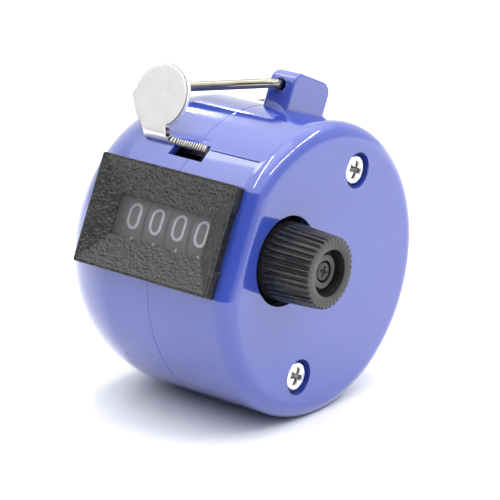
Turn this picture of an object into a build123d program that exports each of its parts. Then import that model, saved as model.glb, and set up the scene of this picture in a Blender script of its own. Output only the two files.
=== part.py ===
"""Hand tally counter: round two-part plastic case, four number wheels on a reset shaft,
sprung thumb lever with its drive comb, fluted reset knob and a wire finger ring.

Every piece is drawn in the case's own frame: X along the drum's axis (towards the knob),
forward (f) out of the window and up (u) towards the finger ring. The frame is leaned back
and lifted only when a piece is handed over, so the row stands on its rest flat at z = 0.
"""
import os
from math import acos, atan2, cos, hypot, pi, radians, sin

from build123d import *

# ---------------------------------------------------------------- driving dimensions, mm
DRUM_R = 22.5
LEFT_X, RIGHT_X, SEAM_X = -16.8, 16.8, 1.6
WALL = 1.6
DOME_START, DOME_DROP, DOME_POWER = -6.8, 4.6, 1.6
FLAT_F = 20.95            # the flat front that carries the window frame
RIM_FILLET = 2.6
SEAM_CHAMFER = 0.1
CREASE_F, CREASE_U = 18.45, 12.6
FACET_SLOPE = 0.5435
LEAN = 25.2               # degrees that the case leans back at rest
REST_DEPTH = 22.3         # axis to rest flat

WINDOW_X = (-7.48, 10.02)
WINDOW_U = (-3.12, 3.15)
BEZEL_X = (-11.6, 14.15)
BEZEL_HALF_U = 8.35
BEZEL_F = 22.85
BEZEL_RIM = 0.5
WINDOW_F = 21.1

AXLE_F = 10.24            # wheel, reset shaft and knob axis
WHEEL_R, WHEEL_W = 8.3, 3.75
WHEEL_X = (-6.08, -1.75, 2.59, 6.92)
GAP_OFFSET = 2.165        # wheel centre to the middle of the gap on its right
RATCHET_R, TEETH = 4.9, 10
SHAFT_R = 1.5
RUN = 0.05                # running clearance
PLATE_X, PLATE_T, PLATE_R = 11.0, 1.0, 19.0

PIVOT_F, PIVOT_U, PIVOT_R = 14.3, 9.4, 1.1
COMB_T = 0.36
SLOT_X, SLOT_U = (-2.3, 4.1), (10.45, 13.05)
SPRING_R, SPRING_WIRE, SPRING_HOOK_F = 1.5, 0.2, 16.64
PAD_F, PAD_T = 19.75, 0.95
PAD_X, PAD_U, PAD_R = -6.65, 18.5, 4.95
NECK_X = (-8.4, -3.9)
TONGUE_U = (12.05, 12.95)

SCREW_F, SCREW_U = -0.7, 15.9
ROD_F, ROD_U, ROD_R = 2.2, -8.8, 1.0

KNOB_HOLE_R = 6.8
KNOB_R, KNOB_TIP_R, KNOB_TIP_X = 5.9, 5.4, 24.9
FLUTES = 36
KNOB_RECESS_R, KNOB_FLOOR_X = 3.45, 22.7
KNOB_BOSS_R, KNOB_BOSS_X = 2.6, 23.8

LUG_X, LUG_F = (1.6, 6.5), (-2.9, 6.6)
LUG_TOP, LUG_CORNER = 27.6, 1.9
RING_X, RING_RHO = 4.05, 25.55
RING_WIRE_R = 0.75
RING_ROLL, RING_DROOP = 4.7, 14.6


def section(x):
    """Plane square to the axis at x: local x is forward, local y is up, extrusions go left."""
    return Plane(origin=(x, 0, 0), x_dir=(0, -1, 0), z_dir=(-1, 0, 0))


def front(f):
    """Plane parallel to the flat front at f: local x is X, local y is up, extrusions go forward."""
    return Plane(origin=(0, -f, 0), x_dir=(1, 0, 0), z_dir=(0, -1, 0))


def hand_over(part, label):
    """Lean the piece back, lift it on to the rest flat, name it and write it."""
    placed = Location((0, 0, REST_DEPTH)) * Location((0, 0, 0), (-LEAN, 0, 0)) * part
    placed.label = label
    export_step(placed, "parts/" + label + ".step")


def dome_points(radius, end_x, drop, steps=14):
    """Points of the soft left end, from the straight drum to the end face."""
    length = DOME_START - end_x
    points = []
    for i in range(steps + 1):
        t = i / steps * pi / 2
        along = length * sin(t) ** (2 / DOME_POWER)
        down = drop * (1 - cos(t) ** (2 / DOME_POWER))
        points.append((DOME_START - along, radius - down))
    return points


def slab(x, f, u):
    """Box between the given limits, as a private solid."""
    centre = ((x[0] + x[1]) / 2, -(f[0] + f[1]) / 2, (u[0] + u[1]) / 2)
    box = Box(x[1] - x[0], f[1] - f[0], u[1] - u[0], mode=Mode.PRIVATE)
    return Location(centre) * box


def rod(x0, x1, radius, f=0.0, u=0.0):
    """Cylinder along X between x0 and x1, as a private solid."""
    cylinder = Cylinder(radius, x1 - x0, mode=Mode.PRIVATE)
    return Location(((x0 + x1) / 2, -f, u), (0, 90, 0)) * cylinder


REST_MIDDLE = (0, sin(radians(LEAN)) * (REST_DEPTH + 5), -cos(radians(LEAN)) * (REST_DEPTH + 5))
REST_CUT = Location(REST_MIDDLE, (LEAN, 0, 0)) * Box(60, 20, 10)
FACET_END_U = CREASE_U - (FLAT_F - CREASE_F) / FACET_SLOPE

# ---------------------------------------------------------------- case, outside and cavities
with BuildPart() as facet_cut:
    with BuildSketch(section(13.7)):
        Polygon((CREASE_F, CREASE_U), (FLAT_F, FACET_END_U), (24, FACET_END_U),
                (24, CREASE_U), align=None)
    extrude(amount=34)

with BuildPart() as left_outer:
    with BuildSketch(Plane.XZ):
        with BuildLine():
            outline = dome_points(DRUM_R, LEFT_X, DOME_DROP)
            Spline(*outline, tangents=[(-1, 0), (0, -1)])
            Polyline(outline[-1], (LEFT_X, 0), (SEAM_X, 0), (SEAM_X, DRUM_R), outline[0])
        make_face()
    revolve(axis=Axis.X)
    add(slab((-30, 30), (FLAT_F, 40), (-30, 30)), mode=Mode.SUBTRACT)
    add(facet_cut.part, mode=Mode.SUBTRACT)
    add(REST_CUT, mode=Mode.SUBTRACT)
    chamfer(left_outer.faces().sort_by(Axis.X)[-1].edges(), SEAM_CHAMFER)

with BuildPart() as left_cavity:
    with BuildSketch(Plane.XZ):
        with BuildLine():
            hollow = dome_points(DRUM_R - WALL, LEFT_X + WALL, DOME_DROP - 0.3)
            Spline(*hollow, tangents=[(-1, 0), (0, -1)])
            Polyline(hollow[-1], (LEFT_X + WALL, 0), (SEAM_X, 0), (SEAM_X, DRUM_R - WALL),
                     hollow[0])
        make_face()
    revolve(axis=Axis.X)
    add(slab((-30, 30), (FLAT_F - WALL, 40), (-30, 30)), mode=Mode.SUBTRACT)

with BuildPart() as right_outer:
    with BuildSketch(section(RIGHT_X)) as right_face:
        Circle(DRUM_R)
        with Locations((FLAT_F + 10, 0)):
            Rectangle(20, 60, mode=Mode.SUBTRACT)
        fillet(right_face.vertices(), 1.5)
    extrude(amount=RIGHT_X - SEAM_X)
    fillet(right_outer.faces().sort_by(Axis.X)[-1].edges(), RIM_FILLET)
    add(facet_cut.part, mode=Mode.SUBTRACT)
    add(REST_CUT, mode=Mode.SUBTRACT)
    chamfer(right_outer.faces().sort_by(Axis.X)[0].edges(), SEAM_CHAMFER)

with BuildPart() as right_cavity:
    with BuildSketch(section(RIGHT_X - WALL)):
        Circle(DRUM_R - WALL)
        with Locations((FLAT_F - WALL + 10, 0)):
            Rectangle(20, 60, mode=Mode.SUBTRACT)
    extrude(amount=RIGHT_X - WALL - SEAM_X)

PEGS = [(-8.6, 6.5), (-8.6, -6.5), (12.2, 6.5), (12.2, -6.5)]

# the openings both halves share: window, pane seat, lever slot and the frame's peg holes
with BuildPart() as case_openings:
    add(slab((-9.2, 11.5), (18, 22), (-3.9, 3.9)))
    add(slab((-10.0, 12.3), (19.85, 22), (-4.7, 4.7)))
    add(slab(SLOT_X, (16, 22), SLOT_U))
    with BuildSketch(front(18)):
        with Locations(*PEGS):
            Circle(0.8)
    extrude(amount=4)

# ---------------------------------------------------------------- left half of the case
with BuildPart() as left_shell:
    add(left_outer.part)
    add(left_cavity.part, mode=Mode.SUBTRACT)
    for side in (-1, 1):
        add(rod(-15.6, -12.0, 3.0, SCREW_F, side * SCREW_U))
    for side in (-1, 1):
        add(rod(-14.6, -11.0, 1.25, SCREW_F, side * SCREW_U), mode=Mode.SUBTRACT)
    # lip that keys the two halves, round the back and the bottom only
    with BuildSketch(section(SEAM_X + 1.2)):
        Circle(21.6)
        Circle(DRUM_R - WALL, mode=Mode.SUBTRACT)
        with Locations((22, 0)):
            Rectangle(32, 60, mode=Mode.SUBTRACT)
    extrude(amount=2.0)
    add(case_openings.part, mode=Mode.SUBTRACT)

# ---------------------------------------------------------------- right half with the ring lug
roll = radians(RING_ROLL)
RING_AXIS = Vector(0, -cos(roll), -sin(roll))
RING_POINT = Vector(RING_X, -RING_RHO * sin(roll), RING_RHO * cos(roll))

with BuildPart() as ring_lug:
    with BuildSketch(section(LUG_X[1])):
        with BuildLine():
            FilletPolyline((LUG_F[0], 19.5), (LUG_F[0], LUG_TOP), (LUG_F[1], LUG_TOP),
                           (LUG_F[1], 19.5), radius=LUG_CORNER)
            Line((LUG_F[1], 19.5), (LUG_F[0], 19.5))
        make_face()
    extrude(amount=LUG_X[1] - LUG_X[0])
    fillet(ring_lug.faces().sort_by(Axis.X)[-1].edges(), 0.5)
    fillet(ring_lug.faces().sort_by(Axis.X)[0].edges(), 0.9)

with BuildPart() as right_shell:
    add(right_outer.part)
    add(ring_lug.part)
    add(right_cavity.part, mode=Mode.SUBTRACT)
    for side in (-1, 1):
        add(rod(12.0, 15.4, 3.3, SCREW_F, side * SCREW_U))
    for side in (-1, 1):
        add(rod(11.0, 17.0, 1.35, SCREW_F, side * SCREW_U), mode=Mode.SUBTRACT)
        add(rod(15.0, 18.0, 2.75, SCREW_F, side * SCREW_U), mode=Mode.SUBTRACT)
    add(rod(14.0, 18.0, KNOB_HOLE_R, AXLE_F), mode=Mode.SUBTRACT)
    with BuildSketch(section(SEAM_X + 1.3)):
        Circle(21.65)
        Circle(DRUM_R - WALL - 0.5, mode=Mode.SUBTRACT)
        with Locations((22.1, 0)):
            Rectangle(32, 60, mode=Mode.SUBTRACT)
    extrude(amount=1.3, mode=Mode.SUBTRACT)
    with BuildSketch(Plane(origin=RING_POINT - RING_AXIS * 8, z_dir=RING_AXIS)):
        Circle(RING_WIRE_R + 0.08)
    extrude(amount=16, mode=Mode.SUBTRACT)
    for way in (-1, 1):
        with BuildSketch(Plane(origin=RING_POINT + RING_AXIS * (3.3 * way), z_dir=RING_AXIS * way)):
            Circle(1.1)
        extrude(amount=6, mode=Mode.SUBTRACT)
    add(case_openings.part, mode=Mode.SUBTRACT)

# ---------------------------------------------------------------- window frame and pane
bezel_width = BEZEL_X[1] - BEZEL_X[0]
bezel_mid = (BEZEL_X[0] + BEZEL_X[1]) / 2
window_mid = ((WINDOW_X[0] + WINDOW_X[1]) / 2, (WINDOW_U[0] + WINDOW_U[1]) / 2)
window_size = (WINDOW_X[1] - WINDOW_X[0], WINDOW_U[1] - WINDOW_U[0])

with BuildPart() as bezel_funnel:
    with BuildSketch(front(BEZEL_F)):
        with Locations((bezel_mid, 0)):
            Rectangle(bezel_width - 2 * BEZEL_RIM, 2 * (BEZEL_HALF_U - BEZEL_RIM))
    with BuildSketch(front(WINDOW_F)):
        with Locations(window_mid):
            Rectangle(*window_size)
    loft()
    add(slab(WINDOW_X, (18, 22), WINDOW_U))

with BuildPart() as bezel:
    add(slab(BEZEL_X, (18.6, BEZEL_F), (-BEZEL_HALF_U, BEZEL_HALF_U)))
    fillet(bezel.edges().filter_by(Axis.Y), 0.45)
    add(left_outer.part, mode=Mode.SUBTRACT)
    add(right_outer.part, mode=Mode.SUBTRACT)
    add(bezel_funnel.part, mode=Mode.SUBTRACT)
    with BuildSketch(front(FLAT_F - 1.5)):
        with Locations(*PEGS):
            Circle(0.75)
    extrude(amount=1.8)

with BuildPart() as window_pane:
    add(slab((-9.9, 12.2), (19.95, 20.9), (-4.6, 4.6)))
    fillet(window_pane.edges().filter_by(Axis.Y), 0.3)

# ---------------------------------------------------------------- screws, plates and spacers
with BuildPart() as case_screws:
    for side in (-1, 1):
        at = side * SCREW_U
        with BuildSketch(Plane(origin=(15.0, -SCREW_F, at), x_dir=(0, 1, 0), z_dir=(1, 0, 0))):
            Circle(2.25)
        extrude(amount=1.5)
        add(rod(-14.2, 15.2, 1.2, SCREW_F, at))
    circles = case_screws.edges().filter_by(GeomType.CIRCLE)
    heads = circles.filter_by(lambda e: abs(e.center().X - 16.5) < 0.01)
    fillet(heads, 0.7)
    for side in (-1, 1):
        at = side * SCREW_U
        add(slab((15.6, 17), (SCREW_F - 1.3, SCREW_F + 1.3), (at - 0.25, at + 0.25)), mode=Mode.SUBTRACT)
        add(slab((15.6, 17), (SCREW_F - 0.25, SCREW_F + 0.25), (at - 1.3, at + 1.3)), mode=Mode.SUBTRACT)


def side_plate(x0):
    """One frame plate, its left face at x0."""
    with BuildPart() as plate:
        with BuildSketch(section(x0 + PLATE_T)):
            Circle(PLATE_R)
            with Locations((27.6, 0)):
                Rectangle(20, 60, mode=Mode.SUBTRACT)
            with Locations((AXLE_F, 0)):
                Circle(SHAFT_R + RUN, mode=Mode.SUBTRACT)
            with Locations((PIVOT_F, PIVOT_U)):
                Circle(PIVOT_R, mode=Mode.SUBTRACT)
            with Locations((ROD_F, ROD_U)):
                Circle(ROD_R, mode=Mode.SUBTRACT)
            with Locations((SCREW_F, SCREW_U), (SCREW_F, -SCREW_U)):
                Circle(1.35, mode=Mode.SUBTRACT)
            with Locations((-15.25, 5.5), (-15.25, -5.5)):
                Rectangle(1.5, 3.0, mode=Mode.SUBTRACT)
            with Locations((SPRING_HOOK_F, PIVOT_U - SPRING_R)):
                Circle(0.35, mode=Mode.SUBTRACT)
        extrude(amount=PLATE_T)
    return plate.part


left_side_plate = side_plate(-PLATE_X - PLATE_T)
right_side_plate = side_plate(PLATE_X)

with BuildPart() as frame_back_plate:
    add(slab((-PLATE_X, PLATE_X), (-16.0, -14.5), (-9.5, 9.5)))
    for side in (-1, 1):
        at = side * 5.5
        add(slab((-PLATE_X - PLATE_T, PLATE_X + PLATE_T), (-16.0, -14.5), (at - 1.5, at + 1.5)))

with BuildPart() as frame_spacers:
    for side in (-1, 1):
        add(rod(-PLATE_X, PLATE_X, 2.6, SCREW_F, side * SCREW_U))
    for side in (-1, 1):
        add(rod(-PLATE_X, PLATE_X, 1.35, SCREW_F, side * SCREW_U), mode=Mode.SUBTRACT)

# ---------------------------------------------------------------- reset shaft, knob and clips
with BuildPart() as reset_shaft:
    add(rod(-12.9, 19.5, SHAFT_R, AXLE_F))
    add(rod(-PLATE_X + 0.1, -8.05, 2.6, AXLE_F))
    add(slab((-8.0, 9.25), (AXLE_F - 0.4, AXLE_F + 0.4), (SHAFT_R - 0.5, SHAFT_R + 1)), mode=Mode.SUBTRACT)
    with BuildSketch(section(-12.05)):
        with Locations((AXLE_F, 0)):
            Circle(2.0)
            Circle(1.1, mode=Mode.SUBTRACT)
    extrude(amount=0.4, mode=Mode.SUBTRACT)
    add(rod(15.5, 20.0, 1.0, AXLE_F), mode=Mode.SUBTRACT)

with BuildPart() as shaft_collar:
    add(rod(9.3, PLATE_X - 0.1, 2.6, AXLE_F))
    add(rod(9.0, PLATE_X, SHAFT_R, AXLE_F), mode=Mode.SUBTRACT)


def snap_clip(x_right, thick, inner, outer, f, u, turn):
    """E-shaped clip lying square to X."""
    with BuildPart() as clip:
        with BuildSketch(section(x_right)):
            with Locations((f, u)):
                Circle(outer)
                Circle(inner, mode=Mode.SUBTRACT)
            with Locations(Location((f, u), turn)):
                with Locations((outer, 0)):
                    Rectangle(2 * outer, inner * 1.5, mode=Mode.SUBTRACT)
        extrude(amount=thick)
    return clip.part


shaft_clip = snap_clip(-12.05, 0.4, 1.1, 2.6, AXLE_F, 0, 180)

FLUTE_RING = []
for i in range(FLUTES):
    for part_turn, radius in ((0.0, KNOB_R), (0.35, KNOB_R), (0.55, KNOB_R - 0.4), (0.8, KNOB_R - 0.4)):
        turn = 2 * pi * (i + part_turn) / FLUTES
        FLUTE_RING.append((AXLE_F + radius * cos(turn), radius * sin(turn)))

with BuildPart() as knob:
    with BuildSketch(Plane(origin=(16.2, 0, 0), x_dir=(0, -1, 0), z_dir=(-1, 0, 0))):
        Polygon(*FLUTE_RING, align=None)
    extrude(amount=-(KNOB_TIP_X - 16.2), taper=3.2)
    add(rod(12.7, 16.2, KNOB_R - 0.1, AXLE_F))
    add(rod(KNOB_FLOOR_X, 26.0, KNOB_RECESS_R, AXLE_F), mode=Mode.SUBTRACT)
    add(rod(KNOB_FLOOR_X - 0.5, KNOB_BOSS_X, KNOB_BOSS_R, AXLE_F))
    add(rod(22.9, 25.0, 1.6, AXLE_F), mode=Mode.SUBTRACT)
    add(rod(12.0, 19.5, SHAFT_R, AXLE_F), mode=Mode.SUBTRACT)
    add(rod(19.0, 24.0, 1.0, AXLE_F), mode=Mode.SUBTRACT)

with BuildPart() as knob_screw:
    add(rod(22.9, 23.75, 1.45, AXLE_F))
    fillet(knob_screw.edges().sort_by(Axis.X)[-1], 0.4)
    add(rod(16.5, 22.9, 0.95, AXLE_F))
    add(slab((23.3, 25), (AXLE_F - 0.85, AXLE_F + 0.85), (-0.16, 0.16)), mode=Mode.SUBTRACT)
    add(slab((23.3, 25), (AXLE_F - 0.16, AXLE_F + 0.16), (-0.85, 0.85)), mode=Mode.SUBTRACT)

# ---------------------------------------------------------------- number wheels and their pawls
RATCHET = []
for i in range(TEETH):
    turn = 2 * pi * i / TEETH
    RATCHET.append((AXLE_F + RATCHET_R * cos(turn), RATCHET_R * sin(turn)))
    RATCHET.append((AXLE_F + 3.9 * cos(turn + 0.08), 3.9 * sin(turn + 0.08)))


def number_wheel(x):
    """Drum with a web, a hub and a ten-tooth ratchet on its right."""
    with BuildPart() as wheel:
        add(rod(x - WHEEL_W / 2, x + WHEEL_W / 2, WHEEL_R, AXLE_F))
        add(rod(x - WHEEL_W, x + 0.2, 7.0, AXLE_F), mode=Mode.SUBTRACT)
        add(rod(x + 1.2, x + WHEEL_W, 7.0, AXLE_F), mode=Mode.SUBTRACT)
        add(rod(x - 1.9, x + 2.3, 2.2, AXLE_F))
        with BuildSketch(section(x + 2.3)):
            Polygon(*RATCHET, align=None)
        extrude(amount=1.6)
        add(rod(x - 0.75, x + 0.3, 0.5, AXLE_F, 5.0))
        add(rod(x - 3, x + 3, SHAFT_R + RUN, AXLE_F), mode=Mode.SUBTRACT)
        add(slab((x - 0.85, x + 0.15), (AXLE_F + 0.85, AXLE_F + 2.4), (0.6, 2.4)), mode=Mode.SUBTRACT)
    return wheel.part


def wheel_pawl(x):
    """Small latch that drops in the shaft's groove when the wheel shows nought."""
    with BuildPart() as pawl:
        with BuildSketch(section(x + 0.12)):
            with Locations((AXLE_F, 5.0)):
                Circle(1.0)
            Polygon((AXLE_F - 0.9, 4.7), (AXLE_F + 0.95, 5.1), (AXLE_F + 1.75, 1.0),
                    (AXLE_F + 1.2, 1.2), (AXLE_F + 0.75, 2.6), align=None)
            with Locations((AXLE_F, 5.0)):
                Circle(0.52, mode=Mode.SUBTRACT)
        extrude(amount=0.87)
    return pawl.part


# ---------------------------------------------------------------- thumb lever and drive comb
with BuildPart() as pad_plate:
    with BuildSketch(front(PAD_F - PAD_T)):
        with Locations((PAD_X, PAD_U)):
            Circle(PAD_R)
        Polygon((NECK_X[0], TONGUE_U[0] + 0.3), (NECK_X[1], TONGUE_U[0] + 0.3), (NECK_X[1], 13.6),
                (PAD_X + 4.55, PAD_U - 1.9), (PAD_X - 4.55, PAD_U - 1.9), (NECK_X[0], 13.6), align=None)
    extrude(amount=PAD_T)

with BuildPart() as thumb_lever:
    add(pad_plate.part)
    add(slab((NECK_X[0], 3.5), (PAD_F - 0.85, PAD_F - 0.35), TONGUE_U))
    add(slab((NECK_X[0], NECK_X[1] + 0.6), (PAD_F - 0.85, PAD_F), TONGUE_U))
    add(slab((-2.0, 3.5), (14.5, PAD_F - 0.4), TONGUE_U))
    add(slab((-9.3, 10.4), (12.9, 15.0), (TONGUE_U[0], TONGUE_U[0] + 0.8)))
    for ear_x in (-8.4, 10.4):
        with BuildSketch(section(ear_x)):
            Polygon((12.9, TONGUE_U[0] + 0.8), (15.0, TONGUE_U[0] + 0.8), (PIVOT_F + 1.85, PIVOT_U),
                    (PIVOT_F - 1.85, PIVOT_U), align=None)
            with Locations((PIVOT_F, PIVOT_U)):
                Circle(1.9)
        extrude(amount=0.9)
    add(rod(-12, 12, PIVOT_R + RUN, PIVOT_F, PIVOT_U), mode=Mode.SUBTRACT)

COMB_X = [x + GAP_OFFSET for x in WHEEL_X]
lead = atan2(-PIVOT_U, AXLE_F - PIVOT_F) + radians(6)
TIP = (PIVOT_F + 5.14 * cos(lead), PIVOT_U + 5.14 * sin(lead))


def blade_points(root, tip, root_half, tip_half):
    """Corners of a tapered blade from root to tip."""
    length = hypot(tip[0] - root[0], tip[1] - root[1])
    side = (-(tip[1] - root[1]) / length, (tip[0] - root[0]) / length)
    return [
        (root[0] + side[0] * root_half, root[1] + side[1] * root_half),
        (tip[0] + side[0] * tip_half, tip[1] + side[1] * tip_half),
        (tip[0] - side[0] * tip_half, tip[1] - side[1] * tip_half),
        (root[0] - side[0] * root_half, root[1] - side[1] * root_half),
    ]


with BuildPart() as drive_comb:
    add(slab((COMB_X[0] - COMB_T / 2, COMB_X[3] + COMB_T / 2), (12.9, 14.9), (11.45, TONGUE_U[0])))
    for x in COMB_X:
        with BuildSketch(section(x + COMB_T / 2)):
            Polygon((12.9, 11.6), (14.9, 11.6), (PIVOT_F + 1.75, PIVOT_U),
                    (PIVOT_F - 1.75, PIVOT_U), align=None)
            with Locations((PIVOT_F, PIVOT_U)):
                Circle(1.8)
            Polygon(*blade_points((PIVOT_F, PIVOT_U), TIP, 1.3, 0.25), align=None)
        extrude(amount=COMB_T)
    add(rod(-12, 12, PIVOT_R + RUN, PIVOT_F, PIVOT_U), mode=Mode.SUBTRACT)

with BuildPart() as lever_shaft:
    add(rod(-12.7, 12.7, PIVOT_R, PIVOT_F, PIVOT_U))
    for x_right in (-12.05, 12.45):
        with BuildSketch(section(x_right)):
            with Locations((PIVOT_F, PIVOT_U)):
                Circle(1.6)
                Circle(0.8, mode=Mode.SUBTRACT)
        extrude(amount=0.4, mode=Mode.SUBTRACT)

with BuildPart() as lever_clips:
    add(snap_clip(-12.05, 0.4, 0.8, 1.9, PIVOT_F, PIVOT_U, 225))
    add(snap_clip(12.45, 0.4, 0.8, 1.9, PIVOT_F, PIVOT_U, 225))

with BuildPart() as spring_coil:
    with BuildLine() as coil:
        Helix(pitch=0.5, height=2.625, radius=SPRING_R)
    with BuildSketch(Plane(origin=coil.line @ 0, z_dir=coil.line % 0)):
        Circle(SPRING_WIRE)
    sweep()

with BuildPart() as lever_spring:
    add(Location((-8.1, -PIVOT_F, PIVOT_U), (0, 90, 0)) * spring_coil.part)
    # fixed leg forward and then through the left plate; moving leg up under the lever
    with BuildSketch(front(PIVOT_F)):
        with Locations((-8.1, PIVOT_U - SPRING_R)):
            Circle(SPRING_WIRE)
    extrude(amount=SPRING_HOOK_F - PIVOT_F)
    add(rod(-11.6, -7.9, SPRING_WIRE, SPRING_HOOK_F, PIVOT_U - SPRING_R))
    with BuildSketch(Plane(origin=(-5.475, SPRING_R - PIVOT_F, PIVOT_U - 0.05), z_dir=(0, -0.08, 1))):
        Circle(SPRING_WIRE)
    extrude(amount=2.6)

# ---------------------------------------------------------------- detent comb on its rod
with BuildPart() as detent_comb:
    add(slab((COMB_X[0] - COMB_T / 2, COMB_X[3] + COMB_T / 2), (0.2, 1.6), (-11.8, -10.6)))
    for x in COMB_X:
        with BuildSketch(section(x + COMB_T / 2)):
            with Locations((ROD_F, ROD_U)):
                Circle(1.8)
            Polygon((0.2, -11.8), (1.6, -11.8), (ROD_F + 1.5, ROD_U - 0.6),
                    (ROD_F - 1.5, ROD_U + 0.6), align=None)
            Polygon(*blade_points((ROD_F, ROD_U), (6.72, -3.95), 1.2, 0.25), align=None)
        extrude(amount=COMB_T)
    add(rod(-12, 12, ROD_R, ROD_F, ROD_U), mode=Mode.SUBTRACT)

with BuildPart() as detent_rod:
    add(rod(-12.6, 12.6, ROD_R, ROD_F, ROD_U))

# ---------------------------------------------------------------- finger ring
# local plane: x along the hinge axis, y out along the loop, origin on the hinge
droop = radians(RING_DROOP)
LOOP_DIR = Vector(-cos(droop), 0, 0) - Vector(0, -sin(roll), cos(roll)) * sin(droop)
RING_PLANE = Plane(origin=RING_POINT, x_dir=RING_AXIS * -1, z_dir=(RING_AXIS * -1).cross(LOOP_DIR))
BIGHT_R, BIGHT_A = 10.2, 18.0
LEG_START = (6.6, 1.2)
reach = hypot(LEG_START[0], BIGHT_A - LEG_START[1])
touch = pi - atan2(LEG_START[0], BIGHT_A - LEG_START[1]) - acos(BIGHT_R / reach)
LEG_END = (BIGHT_R * sin(touch), BIGHT_A + BIGHT_R * cos(touch))
LEG_CORNER = LEG_START[0] - LEG_START[1] * (LEG_END[0] - LEG_START[0]) / (LEG_END[1] - LEG_START[1])

with BuildPart() as ring_half:
    with BuildLine(RING_PLANE) as ring_path:
        FilletPolyline((0, 0), (LEG_CORNER, 0), LEG_END, radius=1.3)
        ThreePointArc(LEG_END, (BIGHT_R * sin(touch / 2), BIGHT_A + BIGHT_R * cos(touch / 2)),
                      (0, BIGHT_A + BIGHT_R))
    with BuildSketch(Plane(origin=ring_path.line @ 0, z_dir=ring_path.line % 0)):
        Circle(RING_WIRE_R)
    sweep()

with BuildPart() as finger_ring:
    add(ring_half.part)
    add(mirror(ring_half.part, about=Plane(origin=RING_POINT, z_dir=RING_AXIS), mode=Mode.PRIVATE))

# ---------------------------------------------------------------- hand over
os.makedirs("parts", exist_ok=True)
for label, piece in (
    ("left_shell", left_shell.part),
    ("right_shell", right_shell.part),
    ("bezel", bezel.part),
    ("window_pane", window_pane.part),
    ("case_screws", case_screws.part),
    ("left_side_plate", left_side_plate),
    ("right_side_plate", right_side_plate),
    ("frame_back_plate", frame_back_plate.part),
    ("frame_spacers", frame_spacers.part),
    ("reset_shaft", reset_shaft.part),
    ("shaft_collar", shaft_collar.part),
    ("shaft_clip", shaft_clip),
    ("knob", knob.part),
    ("knob_screw", knob_screw.part),
    ("thumb_lever", thumb_lever.part),
    ("drive_comb", drive_comb.part),
    ("lever_shaft", lever_shaft.part),
    ("lever_clips", lever_clips.part),
    ("lever_spring", lever_spring.part),
    ("detent_comb", detent_comb.part),
    ("detent_rod", detent_rod.part),
    ("finger_ring", finger_ring.part),
):
    hand_over(piece, label)
for i, x in enumerate(WHEEL_X):
    hand_over(number_wheel(x), "number_wheel_" + str(i + 1))
    hand_over(wheel_pawl(x), "wheel_pawl_" + str(i + 1))
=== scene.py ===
"""Hand tally counter: fine shape, looks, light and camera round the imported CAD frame.

Shapes are drawn in the case's own frame, in millimetres: x along the drum's axis towards
the knob, f forward out of the window, u up towards the finger ring. `at` leans a point
back and lifts it into the row frame, in metres.
"""

import math

import bmesh
import bpy
from mathutils import Matrix, Vector, geometry, noise


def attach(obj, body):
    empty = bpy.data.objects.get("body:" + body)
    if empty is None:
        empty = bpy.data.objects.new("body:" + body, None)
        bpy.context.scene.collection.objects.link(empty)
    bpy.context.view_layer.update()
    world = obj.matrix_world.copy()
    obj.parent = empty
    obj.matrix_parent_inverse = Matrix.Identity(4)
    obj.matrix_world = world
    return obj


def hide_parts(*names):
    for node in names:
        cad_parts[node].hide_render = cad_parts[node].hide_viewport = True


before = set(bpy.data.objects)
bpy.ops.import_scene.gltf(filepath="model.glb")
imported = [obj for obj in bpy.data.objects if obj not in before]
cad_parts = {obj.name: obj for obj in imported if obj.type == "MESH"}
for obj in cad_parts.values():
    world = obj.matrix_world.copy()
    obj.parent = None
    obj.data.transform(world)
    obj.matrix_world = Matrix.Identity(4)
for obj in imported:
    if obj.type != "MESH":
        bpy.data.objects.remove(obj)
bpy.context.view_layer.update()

# ---------------------------------------------------------------- dimensions, mm
LEAN, LIFT = math.radians(25.2), 22.3
DRUM_R, FLAT_F = 22.5, 20.95
SHOULDER_X, SHOULDER_LEN, SHOULDER_DROP = -6.8, 10, 4.6     # the left end's dome
AXLE_F, WHEEL_R = 10.24, 8.3
WHEEL_X = (-6.08, -1.75, 2.59, 6.92)
WINDOW = (-7.48, 10.02, -3.12, 3.15)
BEZEL = (-11.6, 14.15, -8.35, 8.35)
RIM_F, FUNNEL_F, RIM_W = 22.85, 21.1, 0.5
SCREW_F, SCREW_U, SCREW_HEAD_R = -0.7, 15.9, 2.25
SCREW_TOP_X, SCREW_BASE_X, SCREW_RECESS = 16.45, 15.0, 1.15
KNOB_R, KNOB_TIP_R, KNOB_TIP_X = 5.9, 5.4, 24.9
FLUTES, FLUTE_START_X, FLUTE_DEPTH = 36, 16.2, 0.4
PAD_X, PAD_U, PAD_R, PAD_F, SHEET_T = -6.65, 18.5, 4.95, 19.75, 0.95
NECK_X, TONGUE_RIGHT_X, NECK_CORNER_R = (-8.45, -3.9), 3.5, 2.1
PIVOT_F, PIVOT_U, EAR_R, EAR_HOLE_R = 14.3, 9.4, 1.9, 1.15
EAR_X = ((-9.3, -8.4), (9.5, 10.4))
LEVER_BAR_F, LEVER_BAR_U = (12.9, 15.0), (12.05, 12.85)
DIGIT_W, DIGIT_H, STROKE, DIGIT_TURN = 2.37, 4.06, 0.45, math.radians(2.76)


def at(x, f, u):
    """A point of the case's own frame, in the row frame in metres."""
    y = -f * math.cos(LEAN) + u * math.sin(LEAN)
    z = f * math.sin(LEAN) + u * math.cos(LEAN) + LIFT
    return (x * 0.001, y * 0.001, z * 0.001)


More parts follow.
